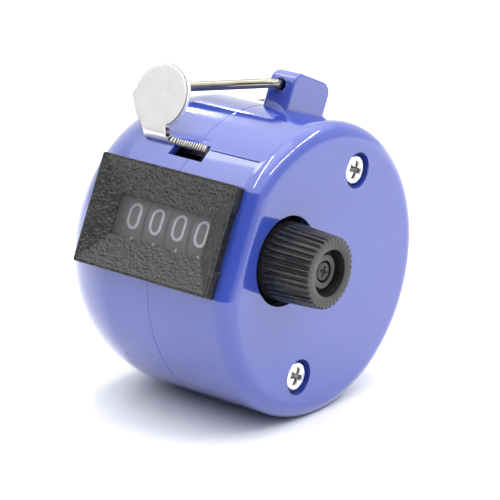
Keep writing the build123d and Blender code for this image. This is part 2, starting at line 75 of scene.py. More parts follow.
def mesh_object(name, points, faces, angle):
    """An object from points in the case's frame: outward normals, sharp above the angle."""
    mesh = bpy.data.meshes.new(name)
    mesh.from_pydata([at(*p) for p in points], [], faces)
    work = bmesh.new()
    work.from_mesh(mesh)
    bmesh.ops.remove_doubles(work, verts=work.verts, dist=1e-7)
    bmesh.ops.recalc_face_normals(work, faces=work.faces)
    work.to_mesh(mesh)
    work.free()
    mesh.shade_smooth()
    mesh.set_sharp_from_angle(angle=math.radians(angle))
    obj = bpy.data.objects.new(name, mesh)
    bpy.context.scene.collection.objects.link(obj)
    return obj


def loft(rings, wrap=False):
    """Faces between rings of the same number of points; wrap joins the last to the first."""
    count = len(rings[0])
    points = [p for ring in rings for p in ring]
    faces = []
    last = len(rings) if wrap else len(rings) - 1
    for i in range(last):
        a, b = i * count, (i + 1) % len(rings) * count
        for j in range(count):
            k = (j + 1) % count
            faces.append((a + j, a + k, b + k, b + j))
    return points, faces


def joined(parts):
    """Several (points, faces) lists as one."""
    points, faces = [], []
    for more_points, more_faces in parts:
        base = len(points)
        points += more_points
        faces += [tuple(i + base for i in face) for face in more_faces]
    return points, faces


def finish_piece(obj, body, slot, material, *nodes):
    """Material, body and the CAD nodes that the piece stands for; the slot is not used."""
    obj.data.materials.clear()
    obj.data.materials.append(material)
    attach(obj, body)
    if nodes:
        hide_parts(*nodes)
    return obj


# ---------------------------------------------------------------- materials
SHEAR_PITCH = 0.45      # mm between the lines on the lever's cut edge


class Look:
    """A Principled material with procedural colour, roughness and bump."""

    def __init__(self, name, **values):
        self.material = bpy.data.materials.new(name)
        self.material.use_nodes = True
        self.tree = self.material.node_tree
        self.shader = self.tree.nodes["Principled BSDF"]
        for key, value in values.items():
            self.shader.inputs[key.replace("_", " ")].default_value = value
        self.place = self.tree.nodes.new("ShaderNodeTexCoord").outputs["Object"]
        self.last_bump = None

    def noise(self, scale, detail=2.0, stretch=None, rough=0.5):
        node = self.tree.nodes.new("ShaderNodeTexNoise")
        node.inputs["Scale"].default_value = scale
        node.inputs["Detail"].default_value = detail
        node.inputs["Roughness"].default_value = rough
        source = self.place
        if stretch:
            mapping = self.tree.nodes.new("ShaderNodeMapping")
            mapping.inputs["Scale"].default_value = stretch
            self.tree.links.new(source, mapping.inputs["Vector"])
            source = mapping.outputs["Vector"]
        self.tree.links.new(source, node.inputs["Vector"])
        return node.outputs["Fac"]

    def cells(self, scale):
        node = self.tree.nodes.new("ShaderNodeTexVoronoi")
        node.feature = "SMOOTH_F1"
        node.inputs["Scale"].default_value = scale
        self.tree.links.new(self.place, node.inputs["Vector"])
        return node.outputs["Distance"]

    def span(self, source, low, high):
        """A value from low to high over the middle part of a noise."""
        node = self.tree.nodes.new("ShaderNodeMapRange")
        node.inputs["From Min"].default_value = 0.3
        node.inputs["From Max"].default_value = 0.7
        node.inputs["To Min"].default_value = low
        node.inputs["To Max"].default_value = high
        self.tree.links.new(source, node.inputs["Value"])
        return node.outputs["Result"]

    def colour(self, source, *stops):
        """Base colour from a value, by (place, rgb) stops."""
        ramp = self.tree.nodes.new("ShaderNodeValToRGB")
        while len(ramp.color_ramp.elements) < len(stops):
            ramp.color_ramp.elements.new(0.5)
        for element, (place, rgb) in zip(ramp.color_ramp.elements, stops):
            element.position = place
            element.color = (*rgb, 1)
        self.tree.links.new(source, ramp.inputs["Fac"])
        self.tree.links.new(ramp.outputs["Color"], self.shader.inputs["Base Color"])

    def feed(self, socket, source):
        self.tree.links.new(source, self.shader.inputs[socket])

    def bump(self, source, height, strength=1.0):
        """Adds a bump of that height in metres under any earlier one."""
        node = self.tree.nodes.new("ShaderNodeBump")
        node.inputs["Strength"].default_value = strength
        node.inputs["Distance"].default_value = height
        self.tree.links.new(source, node.inputs["Height"])
        if self.last_bump:
            self.tree.links.new(self.last_bump, node.inputs["Normal"])
        self.last_bump = node.outputs["Normal"]
        self.tree.links.new(self.last_bump, self.shader.inputs["Normal"])


def blue_plastic():
    look = Look("blue_plastic", IOR=1.5, Coat_Weight=1.0, Coat_IOR=1.54, Coat_Roughness=0.015)
    look.colour(look.noise(90, 3), (0.3, (0.029, 0.054, 0.330)), (0.7, (0.033, 0.062, 0.350)))
    look.feed("Roughness", look.span(look.noise(400, 4), 0.08, 0.13))
    look.bump(look.noise(160, 2), 0.000010)
    return look.material


def black_grain():
    look = Look("black_grained_plastic", IOR=1.5)
    look.colour(look.noise(700, 4), (0.35, (0.015, 0.015, 0.015)), (0.65, (0.028, 0.028, 0.027)))
    look.feed("Roughness", look.span(look.noise(1500, 3), 0.20, 0.32))
    look.bump(look.cells(2600), 0.00015)
    look.bump(look.noise(4200, 2, rough=0.6), 0.00004)
    return look.material


def black_plastic(name, low, high, rough):
    look = Look(name, IOR=1.5)
    look.colour(look.noise(600, 4), (0.3, (low, low, low * 1.02)), (0.7, (high, high, high)))
    look.feed("Roughness", look.span(look.noise(1200, 3), *rough))
    look.bump(look.noise(3000, 3), 0.000006, 0.8)
    return look.material


def metal(name, low, high, rough, scratch=(1, 1, 1), metallic=1.0):
    """A metal; scratch packs its marks closer along the axis with the larger number."""
    look = Look(name, Metallic=metallic)
    look.colour(look.noise(500, 5, scratch), (0.3, low), (0.7, high))
    look.feed("Roughness", look.span(look.noise(900, 4, scratch), *rough))
    look.bump(look.noise(1800, 3, scratch), 0.000002)
    return look.material


def sheared_metal():
    """The plate's cut edge: bright lines, and dark lines of painted shade in the grooves, across its
    thickness.
    """
    look = Look("sheared_edge_painted_shade", Metallic=1.0)
    wave = look.tree.nodes.new("ShaderNodeTexWave")
    # a wave's scale is a tenth of pi over its pitch in metres
    wave.inputs["Scale"].default_value = 0.1 * math.pi / (SHEAR_PITCH * 0.001)
    wave.inputs["Distortion"].default_value = 1.2
    wave.inputs["Detail"].default_value = 2.0
    look.tree.links.new(look.place, wave.inputs["Vector"])
    # the dark lines are painted shade in the shear grooves
    look.colour(wave.outputs["Fac"], (0.3, (0.015, 0.015, 0.015)), (0.75, (0.50, 0.49, 0.46)))
    look.feed("Roughness", look.span(look.noise(900, 4), 0.25, 0.4))
    look.bump(wave.outputs["Fac"], 0.00004)
    return look.material


def wheel_plastic():
    look = Look("dark_wheel_plastic", IOR=1.5)
    look.colour(look.noise(800, 4), (0.3, (0.125, 0.125, 0.129)), (0.7, (0.150, 0.150, 0.155)))
    look.feed("Roughness", look.span(look.noise(1500, 3), 0.45, 0.6))
    look.bump(look.noise(4000, 3), 0.000004)
    return look.material


def digit_paint():
    look = Look("white_digit_paint", IOR=1.45)
    look.colour(look.noise(2500, 4), (0.3, (0.88, 0.88, 0.91)), (0.7, (0.95, 0.95, 0.97)))
    look.feed("Roughness", look.span(look.noise(2500, 3), 0.45, 0.6))
    look.bump(look.noise(5000, 3), 0.000003)
    return look.material


def clear_pane():
    """Clear acrylic: see-through, with Fresnel gloss and a faint haze of fine marks."""
    look = Look("clear_acrylic", IOR=1.49)
    tree = look.tree
    tree.nodes.remove(look.shader)
    through = tree.nodes.new("ShaderNodeBsdfTransparent")
    through.inputs["Color"].default_value = (0.985, 0.99, 0.99, 1)
    gloss = tree.nodes.new("ShaderNodeBsdfGlossy")
    tree.links.new(look.span(look.noise(900, 4), 0.02, 0.09), gloss.inputs["Roughness"])
    haze = tree.nodes.new("ShaderNodeBsdfDiffuse")
    haze.inputs["Color"].default_value = (0.8, 0.82, 0.85, 1)
    veil = tree.nodes.new("ShaderNodeMixShader")
    tree.links.new(look.span(look.noise(1400, 5), 0.05, 0.09), veil.inputs["Fac"])
    tree.links.new(through.outputs[0], veil.inputs[1])
    tree.links.new(haze.outputs[0], veil.inputs[2])
    fresnel = tree.nodes.new("ShaderNodeFresnel")
    fresnel.inputs["IOR"].default_value = 1.38
    mix = tree.nodes.new("ShaderNodeMixShader")
    tree.links.new(fresnel.outputs[0], mix.inputs["Fac"])
    tree.links.new(veil.outputs[0], mix.inputs[1])
    tree.links.new(gloss.outputs[0], mix.inputs[2])
    tree.links.new(mix.outputs[0], tree.nodes["Material Output"].inputs["Surface"])
    return look.material


BLUE = blue_plastic()
GRAIN = black_grain()
KNOB_BLACK = black_plastic("black_knob_plastic", 0.011, 0.020, (0.14, 0.26))
SCREW_BLACK = black_plastic("black_screw_finish", 0.010, 0.018, (0.28, 0.42))
WHEEL = wheel_plastic()
PAINT = digit_paint()
PANE = clear_pane()
NICKEL = metal("satin_nickel_plate", (0.90, 0.90, 0.89), (0.94, 0.94, 0.93), (0.30, 0.38),
               metallic=0.62)
SHEARED = sheared_metal()
WIRE = metal("bright_wire", (0.28, 0.26, 0.21), (0.36, 0.34, 0.28), (0.05, 0.11))
# darker zinc with painted shade, for the screws' cross recesses and the lever pad's broken edge
PAINTED_SHADE_ZINC = metal("painted_shade_zinc", (0.10, 0.11, 0.10), (0.30, 0.31, 0.29), (0.35, 0.5))
ZINC = metal("bright_zinc", (0.82, 0.83, 0.84), (0.92, 0.92, 0.92), (0.22, 0.34))
STEEL = metal("rolled_steel", (0.42, 0.42, 0.42), (0.52, 0.52, 0.51), (0.3, 0.45), (1, 1, 6))
SHAFT = metal("turned_steel", (0.52, 0.52, 0.52), (0.62, 0.62, 0.61), (0.16, 0.28), (14, 1, 1))
SPRING = metal("spring_steel", (0.30, 0.30, 0.31), (0.40, 0.40, 0.41), (0.2, 0.35))

# ---------------------------------------------------------------- window frame
SIDE_STEPS, END_STEPS, CORNER_STEPS = 84, 56, 4
FRAME_CORNER_R, BURIED = 0.4, 0.25
SIDE_ROWS_F = (20.98, 21.2, 21.5, 21.8, 22.1, 22.3, 22.38, 22.42, 22.46, 22.5, 22.54, 22.6, 22.72)
GROOVE_F, GROOVE_DEPTH = (22.40, 22.56), 0.16       # under the rim, on the side of the knob
HOLLOW_TOP_F, HOLLOW_HALF_U, HOLLOW_DEPTH = 22.38, 4.3, 0.3     # below it, between two pads
FUNNEL_STEPS, FUNNEL_ROUGH = 26, 0.055


def case_front(x, u):
    """How far forward the case stands at a point under the window frame."""
    radius = DRUM_R
    if x < SHOULDER_X:
        t = math.asin(min(1.0, ((SHOULDER_X - x) / SHOULDER_LEN) ** 0.8))
        radius -= SHOULDER_DROP * (1 - math.cos(t) ** 1.25)
    return min(FLAT_F, math.sqrt(radius * radius - u * u))


def frame_ring(x0, x1, u0, u1, f, corner):
    """A rectangle with rounded corners, as evenly spread points from its lower left."""
    ring = []
    sides = (
        ((x0, u0), (x1, u0), SIDE_STEPS), ((x1, u0), (x1, u1), END_STEPS),
        ((x1, u1), (x0, u1), SIDE_STEPS), ((x0, u1), (x0, u0), END_STEPS),
    )
    for start, end, steps in sides:
        length = math.dist(start, end)
        way = ((end[0] - start[0]) / length, (end[1] - start[1]) / length)
        for i in range(steps + 1):
            along = corner + (length - 2 * corner) * i / steps
            ring.append((start[0] + way[0] * along, f, start[1] + way[1] * along))
        inward = (-way[1], way[0])
        centre = (end[0] + (inward[0] - way[0]) * corner, end[1] + (inward[1] - way[1]) * corner)
        for i in range(1, CORNER_STEPS):
            turn = math.pi / 2 * i / CORNER_STEPS
            out = math.cos(turn)
            on = math.sin(turn)
            ring.append((centre[0] + (-inward[0] * out + way[0] * on) * corner, f,
                         centre[1] + (-inward[1] * out + way[1] * on) * corner))
    return ring


def inset(box, by):
    """The same box, smaller by a distance all round."""
    return (box[0] + by, box[1] - by, box[2] + by, box[3] - by)


def window_frame():
    """Rings from the back edge up the sides, over the rim and down the rough funnel."""
    rings = []
    for box in (inset(BEZEL, 0.9), BEZEL):
        ring = frame_ring(*box, 0, FRAME_CORNER_R)
        rings.append([(x, case_front(x, u) - BURIED, u) for x, _, u in ring])
    for f in SIDE_ROWS_F:
        ring = []
        for x, _, u in frame_ring(*BEZEL, f, FRAME_CORNER_R):
            if x > BEZEL[1] - 0.05:
                groove = GROOVE_DEPTH if GROOVE_F[0] < f < GROOVE_F[1] else 0.0
                hollow = HOLLOW_DEPTH if abs(u) < HOLLOW_HALF_U and f < HOLLOW_TOP_F else 0.0
                x -= max(groove, hollow)
            ring.append((x, f, u))
        rings.append(ring)
    for by, f in ((0.03, 22.8), (0.1, RIM_F), (RIM_W - 0.08, RIM_F), (RIM_W, RIM_F - 0.05)):
        rings.append(frame_ring(*inset(BEZEL, by), f, 0.38 - by * 0.5))
    mouth = inset(BEZEL, RIM_W)
    for i in range(1, FUNNEL_STEPS + 1):
        t = i / FUNNEL_STEPS
        box = [a + (b - a) * t for a, b in zip(mouth, WINDOW)]
        ring = frame_ring(*box, RIM_F - 0.05 + (FUNNEL_F - RIM_F + 0.05) * t, 0.13 * (1 - t) + 0.03)
        if i < FUNNEL_STEPS:
            fade = min(1.0, 6 * t, 6 * (1 - t))
            ring = [(x, f + FUNNEL_ROUGH * fade * noise.noise(Vector((x, u * 1.05, f)) * 1.9), u)
                    for x, f, u in ring]
        rings.append(ring)
    rings.append(frame_ring(*WINDOW, FLAT_F + 0.01, 0.03))
    return mesh_object("window_frame", *loft(rings, wrap=True), angle=26)


bezel = finish_piece(window_frame(), "case", "black_frame", GRAIN, "bezel")
# the wall towards the knob is smooth, and its darker black is painted shade
bezel.data.materials.append(KNOB_BLACK)
WALL_X = (BEZEL[1] - 0.45) * 0.001
for face in bezel.data.polygons:
    if face.center.x > WALL_X and face.normal.x > 0.8:
        face.material_index = 1

# ---------------------------------------------------------------- digits on the wheels
def arc(centre, radii, start, end, steps=14):
    """Points along part of an ellipse, angles in degrees from the right."""
    turns = (math.radians(start + (end - start) * i / steps) for i in range(steps + 1))
    return [(centre[0] + radii[0] * math.cos(t), centre[1] + radii[1] * math.sin(t)) for t in turns]


def digit_strokes(digit):
    """Centre lines of a digit in a box one wide and one high, as (points, closed)."""
    if digit == 0:
        r = 0.31
        return [(arc((0, 0.5 - r), (0.5, r), 0, 180) + arc((0, r - 0.5), (0.5, r), 180, 360), True)]
    if digit == 1:
        return [([(-0.22, 0.3), (0.08, 0.5), (0.08, -0.5)], False)]
    if digit == 2:
        curve = arc((0, 0.22), (0.5, 0.28), 175, -35)
        return [(curve + [(-0.5, -0.5), (0.5, -0.5)], False)]
    if digit == 3:
        return [(arc((0, 0.25), (0.46, 0.25), 160, -90), False),
                (arc((0, -0.25), (0.5, 0.25), 90, -160), False)]
    if digit == 4:
        return [([(0.5, -0.22), (-0.5, -0.22), (0.2, 0.5), (0.2, -0.5)], False)]
    if digit == 5:
        bowl = arc((-0.02, -0.19), (0.52, 0.31), 120, -150)
        return [([(0.42, 0.5), (-0.38, 0.5), (-0.42, 0.02)] + bowl, False)]
    if digit == 6:
        return [(arc((0, -0.19), (0.5, 0.31), 0, 360)[:-1], True),
                (arc((0.12, -0.19), (0.62, 0.69), 180, 92), False)]
    if digit == 7:
        return [([(-0.5, 0.5), (0.5, 0.5), (-0.12, -0.5)], False)]
    if digit == 8:
        return [(arc((0, 0.24), (0.42, 0.26), 0, 360)[:-1], True),
                (arc((0, -0.25), (0.5, 0.25), 0, 360)[:-1], True)]
    turned_six = digit_strokes(6)
    return [([(-a, -b) for a, b in points], closed) for points, closed in turned_six]


def refine(points, closed, step=0.22):
    """The same line with extra points, so that it can follow the wheel."""
    line = []
    pairs = list(zip(points, points[1:] + points[:1])) if closed else list(zip(points, points[1:]))
    for a, b in pairs:
        parts = max(1, math.ceil(math.dist(a, b) / step))
        line += [(a[0] + (b[0] - a[0]) * i / parts, a[1] + (b[1] - a[1]) * i / parts)
                 for i in range(parts)]
    return line if closed else line + [points[-1]]


def ribbon(points, closed, half):
    """Left and right edges of a line drawn with a pen of that half width."""
    left, right = [], []
    count = len(points)
    for i, (a, b) in enumerate(points):
        before = points[i - 1] if closed or i else points[0]
        after = points[(i + 1) % count] if closed or i + 1 < count else points[-1]
        into = Vector((a - before[0], b - before[1]))
        out = Vector((after[0] - a, after[1] - b))
        into = into.normalized() if into.length > 1e-9 else out.normalized()
        out = out.normalized() if out.length > 1e-9 else into
        middle = (into + out).normalized()
        reach = half / max(0.5, middle.dot(out))
        left.append((a - middle.y * reach, b + middle.x * reach))
        right.append((a + middle.y * reach, b - middle.x * reach))
    return left, right


def digit_solid(x, digit):
    """Closed raised strokes of one digit, wrapped on the wheel."""
    wide, high = DIGIT_W - STROKE, DIGIT_H - STROKE
    parts = []
    for points, closed in digit_strokes(digit):
        line = refine([(a * wide, b * high) for a, b in points], closed)
        left, right = ribbon(line, closed, STROKE / 2)
        rows = []
        for edge, radius in ((left, WHEEL_R - 0.05), (left, WHEEL_R + 0.02),
                             (right, WHEEL_R + 0.02), (right, WHEEL_R - 0.05)):
            row = []
            for a, b in edge:
                turn = DIGIT_TURN - math.radians(36) * digit + b / WHEEL_R
                row.append((x + a, AXLE_F + radius * math.cos(turn), radius * math.sin(turn)))
            rows.append(row)
        count = len(line)
        sections = [[row[i] for row in rows] for i in range(count)]
        solid, faces = loft(sections, wrap=closed)
        if not closed:
            last = 4 * (count - 1)
            faces += [(0, 1, 2, 3), (last + 3, last + 2, last + 1, last)]
        parts.append((solid, faces))
    return joined(parts)


for wheel, wheel_x in enumerate(WHEEL_X, 1):
    numbers = joined([digit_solid(wheel_x, digit) for digit in range(10)])
    digits = mesh_object(f"wheel_{wheel}_digits", *numbers, angle=40)
    finish_piece(digits, f"wheel_{wheel}", "grey_wheel", PAINT)

# ---------------------------------------------------------------- screws
def screw_head(centre, radius, top_x, base_x, arm, width, depth, dome, shank):
    """A head with a cross recess and its shank, as a closed solid: centre is (f, u), arm and
    width are the cross's half length and half width, shank is (x, radius) pairs."""
    count, rings = 96, []
    radii = [radius * k / 30 for k in range(1, 28)] + [radius * 0.95, radius * 0.985, radius]
    for r in radii:
        ring = []
        for j in range(count):
            turn = 2 * math.pi * j / count
            a, b = r * math.cos(turn), r * math.sin(turn)
            edge = max(0.0, (r / radius - 0.86) / 0.14)
            x = top_x - dome * (r / radius) ** 2 - 0.22 * radius * (1 - math.sqrt(1 - edge ** 2))
            across, along = sorted((abs(a), abs(b)))
            flare = width * (0.8 + 0.45 * along / arm)
            wall = min((flare - across) / 0.1, (arm - along) / 0.16)
            x -= depth * (1 - 0.55 * along / arm) * min(1.0, max(0.0, wall))
            ring.append((x, centre[0] + a, centre[1] + b))
        rings.append(ring)
    profile = [(base_x, radius)] + [(x, r) for x, r in shank]
    for x, r in profile:
        turns = (2 * math.pi * j / count for j in range(count))
        rings.append([(x, centre[0] + r * math.cos(t), centre[1] + r * math.sin(t)) for t in turns])
    points, faces = loft(rings)
    points.append((top_x - depth, *centre))
    faces += [(len(points) - 1, (j + 1) % count, j) for j in range(count)]
    points.append((profile[-1][0], *centre))
    start = count * (len(rings) - 1)
    faces += [(len(points) - 1, start + j, start + (j + 1) % count) for j in range(count)]
    return points, faces


case_shank = ((SCREW_BASE_X, 1.2), (-14.0, 1.2), (-14.2, 1.0))
heads = [screw_head((SCREW_F, side * SCREW_U), SCREW_HEAD_R, SCREW_TOP_X, SCREW_BASE_X,
                    1.4, 0.4, SCREW_RECESS, 0.16, case_shank) for side in (-1, 1)]
case_screws = mesh_object("case_screw_pair", *joined(heads), angle=32)
finish_piece(case_screws, "case", "bright_screw", ZINC, "case_screws")
# the walls of the cross recesses are rougher and darker with painted shade; their places are in
# metres
case_screws.data.materials.append(PAINTED_SHADE_ZINC)
PAINTED_SHADE_RECESS_X, PAINTED_SHADE_RECESS_R = (0.0153, 0.01615), 0.0015
screw_axes = [at(0, SCREW_F, side * SCREW_U)[1:] for side in (-1, 1)]
for face in case_screws.data.polygons:
    off = min(math.dist(axis, face.center[1:]) for axis in screw_axes)
    if PAINTED_SHADE_RECESS_X[0] < face.center.x < PAINTED_SHADE_RECESS_X[1] and off < PAINTED_SHADE_RECESS_R:
        face.material_index = 1

knob_shank = ((22.9, 0.95), (16.6, 0.95), (16.5, 0.85))
head = screw_head((AXLE_F, 0), 1.45, 23.75, 22.9, 0.85, 0.17, 0.45, 0.08, knob_shank)
finish_piece(mesh_object("knob_cross_screw", *head, angle=32), "reset", "black_screw",
             SCREW_BLACK, "knob_screw")

# ---------------------------------------------------------------- reset knob
FLUTE_STEPS, FLUTE_ROWS, RIB_SHARE = 14, 19, 0.22


def knob_ring(x, radius, depth):
    """One turn of the knob: ribs with rounded tops and wider hollows between them."""
    ring = []
    count = FLUTES * FLUTE_STEPS
    for i in range(count):
        phase = i % FLUTE_STEPS / FLUTE_STEPS
        across = min(1.0, max(0.0, (phase - RIB_SHARE) / (1 - RIB_SHARE)))
        hollow = 0.5 - 0.5 * math.cos(2 * math.pi * across)
        turn = 2 * math.pi * i / count
        r = radius - depth * hollow ** 0.75
        ring.append((x, AXLE_F + r * math.cos(turn), r * math.sin(turn)))
    return ring


def knob():
    """Rings from the bore out over the collar, up the flutes and into the hollow end."""
    taper = (KNOB_R - KNOB_TIP_R) / (KNOB_TIP_X - FLUTE_START_X)
    rings = [knob_ring(x, r, 0) for x, r in ((22.9, 1.02), (19.5, 1.02), (19.5, 1.52), (12.7, 1.52),
                                             (12.7, 5.7), (12.8, 5.8), (15.7, 5.8))]
    rings.append(knob_ring(15.8, 5.86, 0))
    for i in range(FLUTE_ROWS + 1):
        x = FLUTE_START_X + (KNOB_TIP_X - 0.22 - FLUTE_START_X) * i / FLUTE_ROWS
        depth = FLUTE_DEPTH * min(1.0, 0.25 + (x - FLUTE_START_X) / 1.6)
        rings.append(knob_ring(x, KNOB_R - taper * (x - FLUTE_START_X), depth))
    for back, drop in ((0.12, 0.03), (0.04, 0.09), (0.0, 0.2)):
        rings.append(knob_ring(KNOB_TIP_X - back, KNOB_TIP_R - drop, FLUTE_DEPTH - drop * 0.6))
    face = ((0.0, 3.62), (0.05, 3.5), (0.2, 3.45), (2.15, 3.3), (2.2, 3.2), (2.2, 2.75),
            (2.15, 2.65), (1.2, 2.55), (1.1, 2.47), (1.1, 1.72), (1.15, 1.63), (1.3, 1.6), (2.0, 1.6))
    rings += [knob_ring(KNOB_TIP_X - back, r, 0) for back, r in face]
    return mesh_object("reset_knob", *loft(rings, wrap=True), angle=38)


finish_piece(knob(), "reset", "black_knob", KNOB_BLACK, "knob")

# ---------------------------------------------------------------- thumb lever
BEND_U, BEND_IN = LEVER_BAR_U[0], 0.35
BEND_MID = BEND_IN + SHEET_T / 2
BEND_LEN = BEND_MID * math.pi / 2
BACK_F = 14.6
NECK_BASE_U = BEND_U + SHEET_T / 2 + BEND_MID
PLATE_F = PAD_F - SHEET_T / 2
FRONT_S, SHEAR_STEP = -1.0, 0.07
RIPPLED_X, RIPPLED_S = -4.2, (-1.3, 1.4)


def bent(x, s, off):
    """A point of the bent sheet: s runs up the pad and, below nought, round the bend and
    back into the case; off is the distance forward of, or under, its middle."""
    if s >= 0:
        return (x, PLATE_F + off, NECK_BASE_U + s)
    if s > -BEND_LEN:
        turn = -s / BEND_MID
        radius = BEND_MID + off
        ahead = PLATE_F - BEND_MID + radius * math.cos(turn)
        return (x, ahead, NECK_BASE_U - radius * math.sin(turn))
    return (x, PLATE_F - BEND_MID + s + BEND_LEN, NECK_BASE_U - BEND_MID - off)


def lever_outline():
    """The sheet's outline, anticlockwise from the back left corner of its buried end."""
    end_s = -(BEND_LEN + PLATE_F - BEND_MID - BACK_F)
    pad_s = PAD_U - NECK_BASE_U
    right, nick, corner = TONGUE_RIGHT_X, 0.15, NECK_CORNER_R
    line = [(NECK_X[0], end_s), (right, end_s), (right, FRONT_S - nick)]
    line += [(right - nick + nick * math.cos(t), FRONT_S - nick + nick * math.sin(t))
             for t in (0.5, 1.1)]
    x = right - 2 * nick
    while x > NECK_X[1] + corner:
        line.append((x, FRONT_S))
        x -= SHEAR_STEP
    for i in range(31):
        turn = math.pi / 2 * i / 30
        line.append((NECK_X[1] + corner - corner * math.sin(turn),
                     FRONT_S + corner - corner * math.cos(turn)))
    # the round pad, from where the neck's right edge meets it to where its left edge leaves it
    join = math.asin((NECK_X[1] + 0.35 - PAD_X) / PAD_R)
    start = join - math.pi / 2
    low = (PAD_X + PAD_R * math.cos(start), pad_s + PAD_R * math.sin(start))
    line.append((NECK_X[1] + 0.02, (line[-1][1] * 0.5 + low[1] * 0.5)))
    away = math.hypot(PAD_X - NECK_X[0], pad_s)
    stop = math.pi + math.atan2(pad_s, PAD_X - NECK_X[0]) - math.acos(PAD_R / away)
    for i in range(73):
        turn = start + (stop - start) * i / 72
        line.append((PAD_X + PAD_R * math.cos(turn), pad_s + PAD_R * math.sin(turn)))
    line.append((NECK_X[0], 0.0))
    return line


def shifted(line, by, ripple=0.0):
    """The outline moved inwards by a distance, with a sheared ripple where asked."""
    moved, run = [], 0.0
    count = len(line)
    for i, (a, b) in enumerate(line):
        before, after = line[i - 1], line[(i + 1) % count]
        run += math.dist(before, (a, b)) if i else 0.0
        into = Vector((a - before[0], b - before[1])).normalized()
        out = Vector((after[0] - a, after[1] - b)).normalized()
        middle = (into + out).normalized()
        reach = by / max(0.6, middle.dot(out))
        if ripple and a > RIPPLED_X and RIPPLED_S[0] < b < RIPPLED_S[1]:
            reach += ripple * (0.5 - 0.5 * math.cos(2 * math.pi * run / SHEAR_PITCH)) ** 0.7
        moved.append((a - middle.y * reach, b + middle.x * reach))
    return moved


def bent_sheet():
    """The plate: two faces filled with triangles, and the broken and sheared edge between."""
    outline = lever_outline()
    edge = shifted(outline, 0.0, 0.16)
    bevel = shifted(outline, 0.04, 0.13)
    inner = shifted(outline, 0.13, 0.06)
    half = SHEET_T / 2
    grid = []
    lows = [p[1] for p in inner]
    s = min(lows) + 0.4
    while s < max(lows):
        x = -12.0
        while x < 4.0:
            grid.append((x, s))
            x += 0.45
        s += 0.22 if -2.6 < s < 0.6 else 0.45
    polygon = [Vector(p) for p in inner]
    inside = [p for p in grid if inside_line(p, inner, 0.16)]
    made = geometry.delaunay_2d_cdt(polygon + [Vector(p) for p in inside], [],
                                    [list(range(len(polygon)))], 1, 1e-6)
    flat, triangles = made[0], made[2]
    parts = []
    for off in (half, -half):
        parts.append(([bent(p.x, p.y, off) for p in flat], [tuple(t) for t in triangles]))
    rows = ((inner, half), (bevel, half - 0.04), (edge, half - 0.13),
            (edge, 0.13 - half), (bevel, 0.04 - half), (inner, -half))
    parts.append(loft([[bent(*p, off) for p in line] for line, off in rows]))
    return joined(parts)


def inside_line(point, line, margin):
    """Whether a point lies inside a closed line, further than the margin from it."""
    inside = False
    x, y = point
    for i, (a, b) in enumerate(line):
        c, d = line[i - 1]
        if (b > y) != (d > y) and x < (c - a) * (y - b) / (d - b) + a:
            inside = not inside
        if math.dist((a, b), point) < margin:
            return False
    return inside


def on_sheet_face(f, u, ahead, above):
    """Whether a face of the lever is on the front or back of the sheet, not on its edge."""
    if u > NECK_BASE_U:
        return abs(ahead) > 0.9
    if f < PLATE_F - BEND_MID:
        return abs(above) > 0.9
    out_f, out_u = f - (PLATE_F - BEND_MID), u - NECK_BASE_U
    length = math.hypot(out_f, out_u)
    return abs(ahead * out_f + above * out_u) / length > 0.9


def ear(x0, x1):
    """A lug of the lever with its pivot hole, between two places on X: a round end, and
    straight sides from it to the corners of the bar."""
    corners = [(f, u) for u in (LEVER_BAR_U[0] + 0.05, LEVER_BAR_U[1]) for f in LEVER_BAR_F]
    count, outer, hole = 72, [], []
    for j in range(count):
        turn = 2 * math.pi * j / count
        way = (math.cos(turn), math.sin(turn))
        reach = EAR_R
        for f, u in corners:
            to = (f - PIVOT_F, u - PIVOT_U)
            cross = way[0] * to[1] - way[1] * to[0]
            lean = abs(math.atan2(cross, way[0] * to[0] + way[1] * to[1]))
            cover = math.acos(EAR_R / math.hypot(*to))
            if lean < cover:
                reach = max(reach, EAR_R / math.cos(cover - lean))
        if way[1] > 0.3:
            reach = min(reach, (LEVER_BAR_U[1] - PIVOT_U) / way[1])
        outer.append((PIVOT_F + way[0] * reach, PIVOT_U + way[1] * reach))
        hole.append((PIVOT_F + way[0] * EAR_HOLE_R, PIVOT_U + way[1] * EAR_HOLE_R))
    rings = [[(x0, *p) for p in outer], [(x1, *p) for p in outer],
             [(x1, *p) for p in hole], [(x0, *p) for p in hole]]
    return loft(rings, wrap=True)


def bar(x0, x1, edge=0.08):
    """The bar that joins the ears, along X, with its long edges broken."""
    (f0, f1), (u0, u1) = LEVER_BAR_F, LEVER_BAR_U
    section = [(f0 + edge, u0), (f1 - edge, u0), (f1, u0 + edge), (f1, u1 - edge),
               (f1 - edge, u1), (f0 + edge, u1), (f0, u1 - edge), (f0, u0 + edge)]
    points, faces = loft([[(x, *p) for p in section] for x in (x0, x1)])
    faces += [tuple(range(8)), tuple(range(15, 7, -1))]
    return points, faces


ears = [ear(*ends) for ends in EAR_X]
lever_parts = joined([bent_sheet(), *ears, bar(EAR_X[0][0], EAR_X[1][1])])
lever = mesh_object("thumb_lever_plate", *lever_parts, angle=34)
finish_piece(lever, "lever", "bright_plate", NICKEL, "thumb_lever")
# the cut edge near the bend shows its shear lines, dark with painted shade in their grooves, and the
# pad's broken edge is darker with painted shade
lever.data.materials.append(SHEARED)
lever.data.materials.append(PAINTED_SHADE_ZINC)
SHEARED_X, SHEARED_F, SHEARED_U = (-4.0, 3.2), 17.5, 14.3
for face in lever.data.polygons:
    x, y, z = (value * 1000 for value in face.center)
    f = -y * math.cos(LEAN) + (z - LIFT) * math.sin(LEAN)
    u = y * math.sin(LEAN) + (z - LIFT) * math.cos(LEAN)
    normal = face.normal
    ahead = -normal.y * math.cos(LEAN) + normal.z * math.sin(LEAN)
    above = normal.y * math.sin(LEAN) + normal.z * math.cos(LEAN)
    near_bend = u < SHEARED_U and f > SHEARED_F and SHEARED_X[0] < x < SHEARED_X[1]
    if near_bend and not on_sheet_face(f, u, ahead, above):
        face.material_index = 1
    # painted shade on the pad's broken edge
    if u > NECK_BASE_U and 0.2 < ahead < 0.93:
        face.material_index = 2

